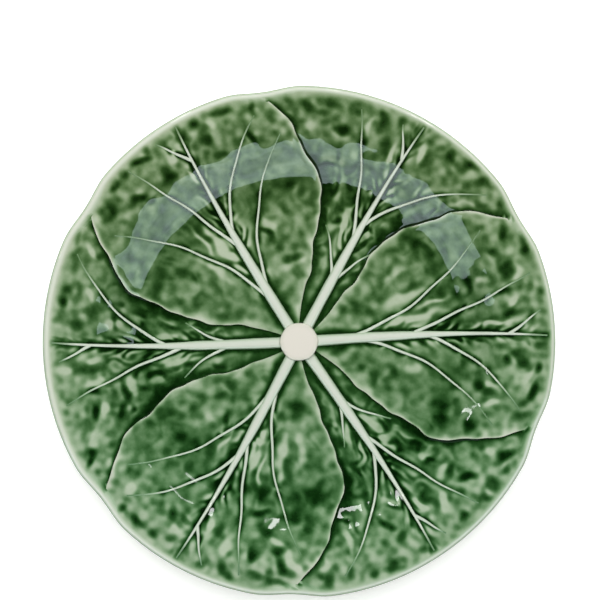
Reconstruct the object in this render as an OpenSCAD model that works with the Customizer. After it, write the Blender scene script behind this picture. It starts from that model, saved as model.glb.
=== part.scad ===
// Salad plate in leaf-moulded, green-glazed earthenware.
// Six cabbage leaves spread from a round stalk: three broad upper leaves lap over three tucked ones.
// The origin is on the table under the middle of the plate, with +Z up and leaf 1 pointing along +X.

/* [Outline] */
// Radius from the middle of the plate to the crown of a rim lobe
rim_r = 100; // [84:1:130]
// Depth of the dip in the rim where two leaves meet
notch_depth = 1.5; // [0.6:0.1:3]
// Width of that dip along the rim
notch_w = 32; // [20:1:40]
// Width of the bare band between the leaves and the rounded edge of the rim
rim_band = 0.2; // [0:0.1:1.5]

/* [Section] */
// Width of the sloped rim, outside the crown curve
rim_w = 18.5; // [12:1:26]
// Radius of the hollow curve between the floor and the wall
cove_r = 24; // [14:1:32]
// Steepest slope of the wall, in degrees
wall_angle = 33; // [26:1:42]
// Level length of the straight part of the wall
wall_run = 2.5; // [1:0.5:4]
// Radius of the crown curve between the wall and the rim
shoulder_r = 24; // [14:1:30]
// Slope of the rim, in degrees
rim_angle = 11; // [5:1:16]
// Thickness of the clay under the leaves
clay_t = 3.6; // [2.8:0.1:5]

/* [Foot ring] */
// Height of the foot ring, which lifts the well off the table
foot_h = 2.6; // [1.8:0.1:5]
// Width of the foot ring where it joins the plate
foot_w = 5; // [4:0.5:8]
// Distance that each side of the foot ring leans in towards its foot
foot_draft = 0.5; // [0:0.1:0.8]
// Distance from the edge of the well in to the foot ring
foot_inset = 2; // [0.5:0.5:6]
// Radius of the ring's two lower edges
foot_edge_r = 0.9; // [0.4:0.1:1.6]

/* [Stalk] */
// Radius of the cut stalk in the middle
stalk_r = 7.5; // [6:0.5:10]
// Height of the cut stalk above the clay floor
stalk_h = 4.2; // [3.4:0.1:6]
// Radius of the stalk's upper edge
stalk_edge_r = 0.9; // [0.4:0.1:1.6]

/* [Leaf blades] */
// Thickness of a tucked leaf beside its midrib
blade_t = 1.1; // [0.8:0.1:2]
// How much higher an upper leaf lies than a tucked one
lap_h = 0.8; // [0.4:0.1:1.6]
// Swell of a blade between its midrib and its margin
swell_h = 0.7; // [0:0.1:1.4]
// Lift of an upper leaf's margin
curl_h = 0.5; // [0:0.1:1]
// Drop of a tucked leaf beside the margin that covers it
tuck_h = 0.3; // [0:0.1:0.5]
// Thickness of a blade's outer end, at the rim
blade_end_t = 0.4; // [0.3:0.1:0.8]

/* [Veins] */
// Width of a midrib at the stalk
midrib_w = 4.4; // [3:0.1:6]
// Height of a midrib at the stalk, above the blade
midrib_h = 1.5; // [0.8:0.1:2.4]
// Width of a midrib at its tip
midrib_tip_w = 0.8; // [0.5:0.1:1.6]
// Height of a midrib at its tip
midrib_tip_h = 0.4; // [0.3:0.1:0.8]
// Width of a side vein where it leaves the midrib
vein_w = 1.6; // [1:0.1:2.4]
// Height of a side vein where it leaves the midrib
vein_h = 0.8; // [0.5:0.1:1.2]
// Width of a side vein at its tip
vein_tip_w = 0.6; // [0.4:0.1:1]
// Height of a side vein at its tip
vein_tip_h = 0.25; // [0.2:0.05:0.5]

/* [Hidden] */
// Hair gap between a piece and what carries it, which the glaze fills on the real plate
seat_gap = 0.1;
// How far outside the rim each notch's cutter starts, so that it meets the edge at a slant
notch_relief = 0.25;
// How far a cutter runs past what it cuts
overrun = 1;

clay_colour = [0.90, 0.88, 0.82];
bare_clay_colour = [0.84, 0.79, 0.70];
leaf_colour = [0.22, 0.42, 0.20];
vein_colour = [0.87, 0.88, 0.80];

leaf_count = 6;
// Direction of each leaf's tip; the first, third and fifth leaves are the upper ones
leaf_angles = [1.6, 59.8, 119.9, 180.2, 240.4, 303];
// How far a midrib leans to the left of its tip's direction where it leaves the stalk
bow_angle = 2.2;
// Spread of an upper leaf at the rim, to the left and to the right of its tip
tip_angles = [28, 22];
// Extra spread of an upper leaf at its belly, to the left and to the right
belly_angles = [20, 17.5];
// How far round its bulge a leaf margin has gone when it reaches the stalk
bulge_angle = 150;
// Ripple of a leaf margin, the number of ripples along it, and their shift from leaf to leaf
ripple_angle = 1.1;
ripple_count = 2.6;
ripple_shift_angle = 75;

// Where side veins leave the midrib and where they end, as shares of the rim's radius
upper_vein_shares = [[0.17, 0.83], [0.44, 0.94], [0.82, 0.95], [0.19, 0.82], [0.49, 0.90]];
tucked_vein_shares = [[0.26, 0.47], [0.45, 0.94], [0.815, 0.94], [0.26, 0.45], [0.51, 0.93]];
// How far each side vein turns from the midrib; positive is to the left, seen from the stalk
upper_vein_angles = [29.5, 15, 6, -25.5, -19];
tucked_vein_angles = [15.5, 15, 4.5, -11.5, -22];
// Power of each side vein's bend: under 1 it leaves the midrib fast, over 1 slowly
upper_vein_powers = [0.85, 0.7, 0.95, 1, 1.08];
tucked_vein_powers = [1, 0.75, 0.9, 0.9, 1.05];
// Share of a blade's rim stretch over which its end thins out
end_share = 0.35;
// Power that keeps a blade's curl or tuck close to its margin
margin_power = 7;

// Steps along each stretch of the section, and where the leaf grid has its columns,
// as shares of the way from the midrib out to a margin
floor_steps = 6;
curve_steps = 5;
rim_steps = 5;
nose_steps = 8;
notch_steps = 16;
column_shares = [-1, -0.93, -0.8, -0.64, -0.48, -0.32, -0.16, 0, 0.16, 0.32, 0.48, 0.64, 0.8, 0.93, 1];
midrib_steps = 30;
vein_steps = 8;
// Points across a vein, as shares of its half width
arch_shares = [-1, -0.62, 0, 0.62, 1];

floor_z = foot_h + clay_t;
rim_start_r = rim_r - rim_w;
shoulder_mid_r = rim_start_r + shoulder_r * sin(rim_angle);
wall_end_r = shoulder_mid_r - shoulder_r * sin(wall_angle);
cove_end_r = wall_end_r - wall_run;
well_r = cove_end_r - cove_r * sin(wall_angle);
cove_end_z = floor_z + cove_r * (1 - cos(wall_angle));
wall_end_z = cove_end_z + wall_run * tan(wall_angle);
shoulder_mid_z = wall_end_z - shoulder_r * cos(wall_angle);
rim_start_z = shoulder_mid_z + shoulder_r * cos(rim_angle);
nose_r = clay_t / 2;
nose_depth = nose_r * (1 + sin(rim_angle));
notch_r = rim_r - notch_depth;
notch_half_angle = asin(notch_w / 2 / rim_r);
leaf_inset = nose_depth + rim_band;
leaf_start_r = stalk_r + seat_gap;
leaf_end_r = notch_r - leaf_inset;

// Section of the plate

// Height, at radius r, of the smooth curve that the clay's upper face follows
function curve_z(r) =
    r <= well_r ? floor_z :
    r <= cove_end_r ? floor_z + cove_r - sqrt(cove_r ^ 2 - (r - well_r) ^ 2) :
    r <= wall_end_r ? cove_end_z + (r - cove_end_r) * tan(wall_angle) :
    r <= rim_start_r ? shoulder_mid_z + sqrt(shoulder_r ^ 2 - (shoulder_mid_r - r) ^ 2) :
    rim_start_z + (r - rim_start_r) * tan(rim_angle);

// Slope of that curve at radius r, in degrees
function curve_slope(r) =
    r <= well_r ? 0 :
    r <= cove_end_r ? asin((r - well_r) / cove_r) :
    r <= wall_end_r ? wall_angle :
    r <= rim_start_r ? asin((shoulder_mid_r - r) / shoulder_r) :
    rim_angle;

function on_plan(r, a) = [r * cos(a), r * sin(a)];

function span(from, to, steps) = [for (i = [0 : steps - 1]) from + (to - from) * i / steps];

// Radii of the section's corners, from the edge of the well to the start of the rim
section_radii = concat(
    span(well_r, cove_end_r, curve_steps),
    [cove_end_r],
    span(wall_end_r, rim_start_r, curve_steps),
    [rim_start_r]
);

section_table = concat([[0, floor_z]], [for (r = section_radii) [r, curve_z(r)]], [[rim_r, curve_z(rim_r)]]);

// Height of the clay's upper face at radius r, on the straight runs between the section's corners
function clay_z(r) = lookup(r, section_table);

function upper_point(r) = [r, curve_z(r)];
function under_point(r) = upper_point(r) + clay_t * [sin(curve_slope(r)), -cos(curve_slope(r))];

// Points of an arc that turns clockwise from angle a to angle b
function arc(middle, r, a, b, steps) =
    [for (i = [0 : steps]) middle + r * [cos(a + (b - a) * i / steps), sin(a + (b - a) * i / steps)]];

nose_middle = upper_point(rim_r - nose_depth) + nose_r * [sin(rim_angle), -cos(rim_angle)];

module section() {
    upper = [for (r = section_radii) upper_point(r)];
    under = [for (i = [len(section_radii) - 1 : -1 : 0]) under_point(section_radii[i])];
    nose = arc(nose_middle, nose_r, 90 + rim_angle, rim_angle - 90, nose_steps);
    polygon(concat([[0, floor_z]], upper, nose, under, [[0, foot_h]]));
}

// Leaves on the plan

function wrapped(k) = (k % leaf_count + leaf_count) % leaf_count;
function leaf_angle(k) = leaf_angles[wrapped(k)] + 360 * floor(k / leaf_count);
function is_upper(k) = wrapped(k) % 2 == 0;

// How far along a leaf radius r lies, from 0 at the stalk to 1 at the rim
function along(r) = (r - leaf_start_r) / (leaf_end_r - leaf_start_r);

// Direction of a midrib at radius r
function rib_angle(k, r) = leaf_angle(k) + bow_angle * (1 - along(r) ^ 2);

// Spread of an upper leaf at radius r; side is 0 to the left and 1 to the right
function spread(side, r) =
    tip_angles[side] + belly_angles[side] * sin(bulge_angle * (1 - along(r)));

function ripple(k, r) =
    ripple_angle * sin(180 * along(r)) * sin(360 * ripple_count * along(r) + ripple_shift_angle * wrapped(k));

// Angle, at radius r, of the margin between leaf k and the next leaf to its left
function margin_angle(k, r) =
    ripple(k, r) + (is_upper(k) ? leaf_angle(k) + spread(0, r) : leaf_angle(k + 1) - spread(1, r));

function left_margin(k, r) = margin_angle(k, r);
function right_margin(k, r) = margin_angle(k - 1, r);

// Direction of the notch at the left end of leaf k
function notch_angle(k) = margin_angle(k, leaf_end_r);

// Radius of a notch's edge at a share of its half width, from -1 to 1
function notch_edge_r(share) =
    rim_r + notch_relief - (notch_depth + notch_relief) * (1 + cos(180 * share)) / 2;

function rim_near(k, a) =
    let (share = (a - notch_angle(k)) / notch_half_angle)
    abs(share) < 1 ? min(rim_r, notch_edge_r(share)) : rim_r;

// Radius of the rim over leaf k, in direction a
function outline(k, a) = min(rim_near(k, a), rim_near(k - 1, a));

module notch_cutter(k) {
    outer_r = (rim_r + overrun) / cos(notch_half_angle);
    edge = [for (i = [0 : notch_steps])
        let (share = 2 * i / notch_steps - 1)
        on_plan(notch_edge_r(share), notch_angle(k) + notch_half_angle * share)];
    corners = [for (side = [1, -1]) on_plan(outer_r, notch_angle(k) + notch_half_angle * side)];
    linear_extrude(height = clay_z(rim_r) + overrun) polygon(concat(edge, corners));
}

// Leaf blades

// Share of the rim stretch, from 0 at the shoulder to 1 at a leaf's end, at radius r in direction a
function rim_share(k, r, a) = (r - rim_start_r) / (outline(k, a) - leaf_inset - rim_start_r);

// Radius on the margin that goes with a rim share, so that both neighbours use the same points
function margin_r(share) = rim_start_r + (leaf_end_r - rim_start_r) * share;

// Place across a leaf, from -1 at its right margin through 0 on its midrib to 1 at its left margin
function across(k, r, a) =
    let (
        share = rim_share(k, r, a),
        level = share > 0 ? margin_r(share) : r,
        rib = rib_angle(k, level),
        turn = a - rib
    )
    turn > 0 ? turn / (left_margin(k, level) - rib) : turn / (rib - right_margin(k, level));

// Thickness of blade k at place s across it, and at a share of the rim stretch
function blade_thickness(k, s, share) =
    let (
        margin = pow(min(1, abs(s)), margin_power),
        swell = swell_h * sin(180 * min(1, abs(s))),
        whole = is_upper(k) ? blade_t + lap_h + swell + curl_h * margin : blade_t + swell - tuck_h * margin,
        fade = min(1, max(0, (share - (1 - end_share)) / end_share))
    )
    whole + (blade_end_t - whole) * fade ^ 2;

// Height of the top of blade k at radius r in direction a
function blade_z(k, r, a) = clay_z(r) + blade_thickness(k, across(k, r, a), rim_share(k, r, a));

// Rows of the leaf grid: a radius up to the shoulder, and from there a share of the rim stretch
floor_radii = span(leaf_start_r, well_r, floor_steps);
rim_shares = [for (i = [1 : rim_steps]) i / rim_steps];

function grid_point(k, s, level, share) =
    let (
        rib = rib_angle(k, level),
        a = rib + s * (s > 0 ? left_margin(k, level) - rib : rib - right_margin(k, level)),
        r = share > 0 ? rim_start_r + (outline(k, a) - leaf_inset - rim_start_r) * share : level
    )
    [r * cos(a), r * sin(a), clay_z(r)];

function grid_rows(k) = concat(
    [for (r = concat(floor_radii, section_radii)) [for (s = column_shares) grid_point(k, s, r, 0)]],
    [for (share = rim_shares) [for (s = column_shares) grid_point(k, s, margin_r(share), share)]]
);

function row_shares() = concat([for (r = concat(floor_radii, section_radii)) 0], rim_shares);

// A closed sheet between two grids of points that share their rows and columns
module sheet(under, upper) {
    rows = len(upper);
    columns = len(upper[0]);
    function id(layer, i, j) = (layer * rows + i) * columns + j;
    function quad(a, b, c, d) = [[a, b, c], [a, c, d]];
    points = [for (layer = [under, upper]) for (row = layer) for (p = row) p];
    faces = [
        for (i = [0 : rows - 2]) for (j = [0 : columns - 2]) for (f = concat(
            quad(id(1, i, j), id(1, i, j + 1), id(1, i + 1, j + 1), id(1, i + 1, j)),
            quad(id(0, i, j), id(0, i + 1, j), id(0, i + 1, j + 1), id(0, i, j + 1))
        )) f,
        for (i = [0 : rows - 2]) for (f = concat(
            quad(id(0, i, 0), id(1, i, 0), id(1, i + 1, 0), id(0, i + 1, 0)),
            quad(id(0, i, columns - 1), id(0, i + 1, columns - 1), id(1, i + 1, columns - 1), id(1, i, columns - 1))
        )) f,
        for (j = [0 : columns - 2]) for (f = concat(
            quad(id(0, 0, j), id(0, 0, j + 1), id(1, 0, j + 1), id(1, 0, j)),
            quad(id(0, rows - 1, j), id(1, rows - 1, j), id(1, rows - 1, j + 1), id(0, rows - 1, j + 1))
        )) f
    ];
    polyhedron(points, faces);
}

module leaf_blade(k) {
    under = grid_rows(k);
    shares = row_shares();
    upper = [for (i = [0 : len(under) - 1]) [for (j = [0 : len(column_shares) - 1])
        under[i][j] + [0, 0, blade_thickness(k, column_shares[j], shares[i])]]];
    color(leaf_colour) sheet(under, upper);
}

// Veins

// A closed ridge through a row of rings, each with the same number of points
module ridge(rings) {
    n = len(rings[0]);
    last = len(rings) - 1;
    function id(i, j) = i * n + j % n;
    points = [for (ring = rings) for (p = ring) p];
    faces = [
        for (i = [0 : last - 1]) for (j = [0 : n - 1]) for (f = [
            [id(i, j), id(i, j + 1), id(i + 1, j + 1)],
            [id(i, j), id(i + 1, j + 1), id(i + 1, j)]
        ]) f,
        for (j = [1 : n - 2]) [id(0, 0), id(0, j + 1), id(0, j)],
        for (j = [1 : n - 2]) [id(last, 0), id(last, j), id(last, j + 1)]
    ];
    polyhedron(points, faces);
}

// One ring across a vein at a point of the plan: an arch whose foot follows the blade
function arch(k, p, direction, half_w, h, lift) =
    [for (share = arch_shares)
        let (
            q = p + half_w * share * [-direction.y, direction.x],
            z = blade_z(k, norm(q), leaf_angle(k) + turn_from(leaf_angle(k), q))
        )
        [q.x, q.y, z + lift + h * (1 - share ^ 2)]];

// Turn from direction a to the direction of point q, between -180 and 180 degrees
function turn_from(a, q) = atan2(q.y * cos(a) - q.x * sin(a), q.x * cos(a) + q.y * sin(a));

// A ridge on blade k along path, tapering from the first width and height to the last
module tapered_vein(k, path, w, h, tip_w, tip_h, lift) {
    last = len(path) - 1;
    ridge([for (i = [0 : last])
        let (
            chord = path[min(last, i + 1)] - path[max(0, i - 1)],
            share = i / last
        )
        arch(k, path[i], chord / norm(chord), (w + (tip_w - w) * share) / 2, h + (tip_h - h) * share, lift)]);
}

module midrib(k) {
    tip_r = outline(k, leaf_angle(k)) - leaf_inset - midrib_tip_w;
    path = [for (i = [0 : midrib_steps])
        let (r = leaf_start_r + (tip_r - leaf_start_r) * i / midrib_steps)
        on_plan(r, rib_angle(k, r))];
    tapered_vein(k, path, midrib_w, midrib_h, midrib_tip_w, midrib_tip_h, seat_gap);
}

module side_vein(k, shares, turn, bend_power) {
    root_r = shares[0] * rim_r;
    tip_r = shares[1] * rim_r;
    path = [for (i = [0 : vein_steps])
        let (step = i / vein_steps, r = root_r + (tip_r - root_r) * step)
        on_plan(r, rib_angle(k, r) + turn * pow(step, bend_power))];
    tapered_vein(k, path, vein_w, vein_h, vein_tip_w, vein_tip_h, 2 * seat_gap);
}

module leaf_veins(k) {
    places = is_upper(k) ? upper_vein_shares : tucked_vein_shares;
    turns = is_upper(k) ? upper_vein_angles : tucked_vein_angles;
    powers = is_upper(k) ? upper_vein_powers : tucked_vein_powers;
    color(vein_colour) {
        midrib(k);
        for (i = [0 : len(places) - 1]) side_vein(k, places[i], turns[i], powers[i]);
    }
}

// Body, foot and stalk

module plate_body() {
    color(clay_colour)
        difference() {
            rotate_extrude($fn = 180) section();
            for (k = [0 : leaf_count - 1]) notch_cutter(k);
        }
}

module foot_ring() {
    outer_r = well_r - foot_inset;
    inner_r = outer_r - foot_w;
    edge_inset = foot_draft + foot_edge_r;
    color(bare_clay_colour)
        rotate_extrude($fn = 180)
            polygon(concat(
                [[inner_r, foot_h], [outer_r, foot_h]],
                arc([outer_r - edge_inset, foot_edge_r], foot_edge_r, 0, -90, curve_steps),
                arc([inner_r + edge_inset, foot_edge_r], foot_edge_r, -90, -180, curve_steps)
            ));
}

module cut_stalk() {
    top_z = floor_z + stalk_h;
    color(clay_colour)
        rotate_extrude($fn = 90)
            polygon(concat(
                [[0, floor_z], [0, top_z]],
                arc([stalk_r - stalk_edge_r, top_z - stalk_edge_r], stalk_edge_r, 90, 0, curve_steps),
                [[stalk_r, floor_z]]
            ));
}

plate_body();
foot_ring();
cut_stalk();
for (k = [0 : leaf_count - 1]) {
    leaf_blade(k);
    leaf_veins(k);
}
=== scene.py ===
import bmesh
import bpy
import math
import numpy as np
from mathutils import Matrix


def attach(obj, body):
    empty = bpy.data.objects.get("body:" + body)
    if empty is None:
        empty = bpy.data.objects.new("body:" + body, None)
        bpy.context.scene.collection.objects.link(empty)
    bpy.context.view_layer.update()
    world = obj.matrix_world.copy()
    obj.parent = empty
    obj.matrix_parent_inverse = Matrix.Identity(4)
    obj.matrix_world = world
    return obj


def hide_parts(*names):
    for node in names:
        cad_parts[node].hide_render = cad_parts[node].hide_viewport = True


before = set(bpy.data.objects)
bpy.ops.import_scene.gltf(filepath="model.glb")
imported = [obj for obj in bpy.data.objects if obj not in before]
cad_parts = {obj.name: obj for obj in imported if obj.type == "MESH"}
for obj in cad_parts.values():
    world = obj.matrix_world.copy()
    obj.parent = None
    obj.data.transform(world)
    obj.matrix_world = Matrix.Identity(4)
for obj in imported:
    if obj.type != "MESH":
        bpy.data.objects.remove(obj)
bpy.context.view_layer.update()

# The clay body
# One plate of cream earthenware pressed over a mould: a flat well, a hollow curve up into the wall,
# a crown curve and a sloped rim with a rounded edge, glazed above and below. Sizes are in millimetres.
MM = 0.001
rim_r = 100.0
rim_w = 18.5
cove_r = 24.0
shoulder_r = 24.0
wall_angle = math.radians(33)
rim_angle = math.radians(11)
wall_run = 2.5
clay_t = 3.6
foot_h = 2.6
floor_z = foot_h + clay_t
rim_start_r = rim_r - rim_w
shoulder_mid_r = rim_start_r + shoulder_r * math.sin(rim_angle)
wall_end_r = shoulder_mid_r - shoulder_r * math.sin(wall_angle)
cove_end_r = wall_end_r - wall_run
well_r = cove_end_r - cove_r * math.sin(wall_angle)
cove_end_z = floor_z + cove_r * (1 - math.cos(wall_angle))
wall_end_z = cove_end_z + wall_run * math.tan(wall_angle)
shoulder_mid_z = wall_end_z - shoulder_r * math.cos(wall_angle)
rim_start_z = shoulder_mid_z + shoulder_r * math.cos(rim_angle)
nose_r = clay_t / 2
nose_depth = nose_r * (1 + math.sin(rim_angle))


def clay_height(r):
    """Height of the clay's upper face at radius r."""
    cove = floor_z + cove_r - np.sqrt(np.maximum(cove_r**2 - (r - well_r)**2, 0))
    crown = shoulder_mid_z + np.sqrt(np.maximum(shoulder_r**2 - (shoulder_mid_r - r)**2, 0))
    return np.select(
        [r <= well_r, r <= cove_end_r, r <= wall_end_r, r <= rim_start_r],
        [floor_z, cove, cove_end_z + (r - cove_end_r) * math.tan(wall_angle), crown],
        rim_start_z + (r - rim_start_r) * math.tan(rim_angle))


def clay_slope(r):
    """Slope of that face at radius r."""
    return np.select(
        [r <= well_r, r <= cove_end_r, r <= wall_end_r, r <= rim_start_r],
        [0, np.arcsin(np.clip((r - well_r) / cove_r, -1, 1)), wall_angle,
         np.arcsin(np.clip((shoulder_mid_r - r) / shoulder_r, -1, 1))],
        rim_angle)


# The plan of the mould: six leaves turn about the stalk, and their margins meet the rim in six dips.
# Upper leaves reach farther over their neighbours than tucked ones do. Angles are in degrees.
leaf_tips = [1.6, 59.8, 119.9, 180.2, 240.4, 303]
rib_bow = 2.2
upper_reach, upper_belly = 28, 20
tucked_reach, tucked_belly = 22, 17.5
belly_turn = 150
ripple_size, ripple_count, ripple_shift = 1.1, 2.6, 75
crimp_waves = [(0.45, 19, 1.7), (0.16, 8.3, 2.9)]
leaf_start_r = 7.6
leaf_inset = nose_depth + 0.2
dip_depth = 1.5
dip_half_w = 16
dip_half_angle = math.degrees(math.asin(dip_half_w / rim_r))
leaf_end_r = rim_r - dip_depth - leaf_inset


def is_upper(k):
    return k % 6 % 2 == 0


def tip_angle(k):
    return leaf_tips[k % 6] + 360 * (k // 6)


def along(r):
    return (r - leaf_start_r) / (leaf_end_r - leaf_start_r)


def rib_angle(k, r):
    return tip_angle(k) + rib_bow * (1 - along(r)**2)


def margin_angle(k, r):
    """Direction of the margin on the left of leaf k at radius r, in degrees."""
    share = along(r)
    bulge = np.sin(np.radians(belly_turn * (1 - share)))
    ripple = ripple_size * np.sin(np.pi * share) * np.sin(
        2 * np.pi * ripple_count * share + np.radians(ripple_shift * (k % 6)))
    crimp = sum(size * np.sin(2 * np.pi * r / wave + shift * (k % 6)) for size, wave, shift in crimp_waves)
    ripple = ripple + np.degrees(crimp * swell_between(12, 30, r) / np.maximum(r, 1))
    if is_upper(k):
        return ripple + tip_angle(k) + upper_reach + upper_belly * bulge
    return ripple + tip_angle(k + 1) - tucked_reach - tucked_belly * bulge


def swell_between(low, high, value):
    """0 below low, 1 above high, and a smooth rise between."""
    share = np.clip((value - low) / (high - low), 0, 1)
    return share * share * (3 - 2 * share)


def hump(value, middle, spread):
    """1 where the value is at the middle, falling smoothly to 0 on both sides."""
    return np.exp(-((value - middle) / spread)**2)


def turn_between(a, b):
    """Turn from direction b to direction a, from -180 to 180 degrees."""
    return (a - b + 180) % 360 - 180


def outline(a):
    """Radius of the rim in direction a, with a soft dip where two leaves meet."""
    dips = np.zeros_like(a)
    for k in range(6):
        share = turn_between(a, margin_angle(k, leaf_end_r)) / dip_half_angle
        dips = np.maximum(dips, dip_depth * (1 + np.cos(np.pi * np.clip(share, -1, 1))) / 2)
    return rim_r - dips


# The glaze is laid out on a fine square plan of the plate, and read back wherever a piece needs it.
plan_half = 104.0
plan_pitch = 0.25
plan_n = int(2 * plan_half / plan_pitch)
plan_line = (np.arange(plan_n) - plan_n / 2) * plan_pitch
plan_x, plan_y = np.meshgrid(plan_line, plan_line, indexing="ij")
plan_r = np.hypot(plan_x, plan_y)
plan_a = np.degrees(np.arctan2(plan_y, plan_x))


def read_plan(plan, x, y):
    """Value of a plan at points x, y, blended from the four nearest cells; it repeats past its edges."""
    u = x / plan_pitch + plan_n / 2
    v = y / plan_pitch + plan_n / 2
    i, j = np.floor(u).astype(int), np.floor(v).astype(int)
    fu, fv = u - i, v - j
    i0, i1, j0, j1 = i % plan_n, (i + 1) % plan_n, j % plan_n, (j + 1) % plan_n
    return ((plan[i0, j0] * (1 - fu) + plan[i1, j0] * fu) * (1 - fv)
            + (plan[i0, j1] * (1 - fu) + plan[i1, j1] * fu) * fv)


def crinkle(seed, wave, spread=0.45):
    """A plan of soft bumps about one wave apart; their heights have a standard deviation of 1."""
    grain = np.random.default_rng(seed).standard_normal((plan_n, plan_n))
    fx = np.fft.fftfreq(plan_n, plan_pitch)[:, None]
    fy = np.fft.rfftfreq(plan_n, plan_pitch)[None, :]
    band = np.exp(-((np.hypot(fx, fy) * wave - 1) / spread)**2)
    soft = np.fft.irfft2(np.fft.rfft2(grain) * band, s=grain.shape)
    return soft / soft.std()


def blurred(plan, spread):
    """The plan softened by a bell of the given spread in millimetres."""
    fx = np.fft.fftfreq(plan_n, plan_pitch)[:, None]
    fy = np.fft.rfftfreq(plan_n, plan_pitch)[None, :]
    bell = np.exp(-2 * (math.pi * spread)**2 * (fx**2 + fy**2))
    return np.fft.irfft2(np.fft.rfft2(plan) * bell, s=plan.shape)


def trace_path(points, reach, gap, share, side):
    """Writes, on the plan near a path, the distance to it, the share along it and the side of it."""
    steps = len(points) - 1
    for i in range(steps):
        p, q = points[i], points[i + 1]
        low = np.floor((np.minimum(p, q) - reach) / plan_pitch + plan_n / 2).astype(int)
        high = np.ceil((np.maximum(p, q) + reach) / plan_pitch + plan_n / 2).astype(int)
        low, high = np.maximum(low, 0), np.minimum(high, plan_n)
        cells = (slice(low[0], high[0]), slice(low[1], high[1]))
        step = q - p
        dx, dy = plan_x[cells] - p[0], plan_y[cells] - p[1]
        t = np.clip((dx * step[0] + dy * step[1]) / (step @ step), 0, 1)
        d = np.hypot(dx - t * step[0], dy - t * step[1])
        nearer = d < gap[cells]
        gap[cells] = np.where(nearer, d, gap[cells])
        share[cells] = np.where(nearer, (i + t) / steps, share[cells])
        side[cells] = np.where(nearer, np.sign(step[0] * dy - step[1] * dx), side[cells])


def on_plan(r, a):
    return np.stack([r * np.cos(np.radians(a)), r * np.sin(np.radians(a))], axis=-1)


# Margins: margin_gap is the distance to the nearest margin, positive on the upper leaves and negative on
# the tucked ones, and it stops counting at margin_reach.
margin_reach = 9.0
upper_here = np.zeros((plan_n, plan_n), bool)
for k in (0, 2, 4):
    right = margin_angle(k - 1, plan_r)
    upper_here |= (plan_a - right) % 360 < margin_angle(k, plan_r) - right
margin_gap = np.where(upper_here, margin_reach, -margin_reach)
for k in range(6):
    r = np.linspace(3, plan_half, 200)
    gap, share, side = (np.full((plan_n, plan_n), v) for v in (margin_reach, 0.0, 0.0))
    trace_path(on_plan(r, margin_angle(k, r)), margin_reach, gap, share, side)
    signed = gap * (-side if is_upper(k) else side)
    margin_gap = np.where(gap < np.abs(margin_gap), signed, margin_gap)

# Veins: a midrib has its width and height at marked radii. A side vein has the radii of its root and its
# tip, its turn away from the rib at the tip, and a power that is below 1 where it turns early.
rib_w_radii, rib_w_marks = [7.6, 20, 39, 55, 70, 94], [4.4, 4.1, 3.6, 2.3, 1.5, 0.7]
rib_h_radii, rib_h_marks = [7.6, 40, 70, 96], [1.45, 1.2, 0.8, 0.2]
upper_veins = [(17, 83, 29.5, 0.85), (44, 94, 15, 0.7), (82, 95, 6, 0.95),
               (19, 82, -25.5, 1), (49, 90, -19, 1.08)]
tucked_veins = [(26, 47, 15.5, 1), (45, 94, 15, 0.75), (81.5, 94, 4.5, 0.9),
                (26, 45, -11.5, 0.9), (51, 93, -22, 1.05)]
vein_tip_half_w, vein_widening = 0.31, 0.45
vein_root_h, vein_fall = 0.62, 0.5
sway_size, sway_wave = 0.35, 22


def rib_path(k):
    """Path, half widths and heights of leaf k's midrib, a little uneven in width as if cut by hand."""
    r = np.linspace(leaf_start_r - 1.5, float(outline(np.array(tip_angle(k)))) - leaf_inset - 0.8, 90)
    half_w = np.interp(r, rib_w_radii, rib_w_marks) / 2
    half_w = half_w * (1 + 0.022 * np.sin(r / 3.7 + k) + 0.012 * np.sin(r / 1.9 + 2 * k))
    return on_plan(r, rib_angle(k, r)), half_w, np.interp(r, rib_h_radii, rib_h_marks)


def vein_paths(k):
    """The same of each side vein of leaf k."""
    for root_r, tip_r, turn, power in (upper_veins if is_upper(k) else tucked_veins):
        t = np.linspace(0, 1, 60)
        r = root_r + (tip_r - root_r) * t
        sway = sway_size * np.sin(2 * np.pi * r / sway_wave + turn + k) * np.sin(np.pi * t)
        path = on_plan(r, rib_angle(k, r) + turn * t**power + np.degrees(sway / r))
        yield path, vein_tip_half_w + vein_widening * (1 - t)**1.5, vein_root_h - vein_fall * t


# Distance to the edge of the nearest rib and vein, and how strongly glaze pools beside a vein.
far_gap, path_reach = 9.0, 8.0
rib_gap = np.full((plan_n, plan_n), far_gap)
vein_gap = np.full((plan_n, plan_n), far_gap)
vein_pool = np.zeros((plan_n, plan_n))
for k in range(6):
    for edge_gap, found in ((rib_gap, [rib_path(k)]), (vein_gap, vein_paths(k))):
        for path, half_w, height in found:
            gap, share, side = (np.full((plan_n, plan_n), v) for v in (far_gap, 0.0, 0.0))
            trace_path(path, path_reach, gap, share, side)
            outside = gap - np.interp(share, np.linspace(0, 1, len(half_w)), half_w)
            np.minimum(edge_gap, outside, out=edge_gap)
            if edge_gap is vein_gap:
                near = np.exp(-(np.maximum(outside, 0) / 0.9)**1.4)
                np.maximum(vein_pool, near * (1 - swell_between(0.35, 1, share)), out=vein_pool)

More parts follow.
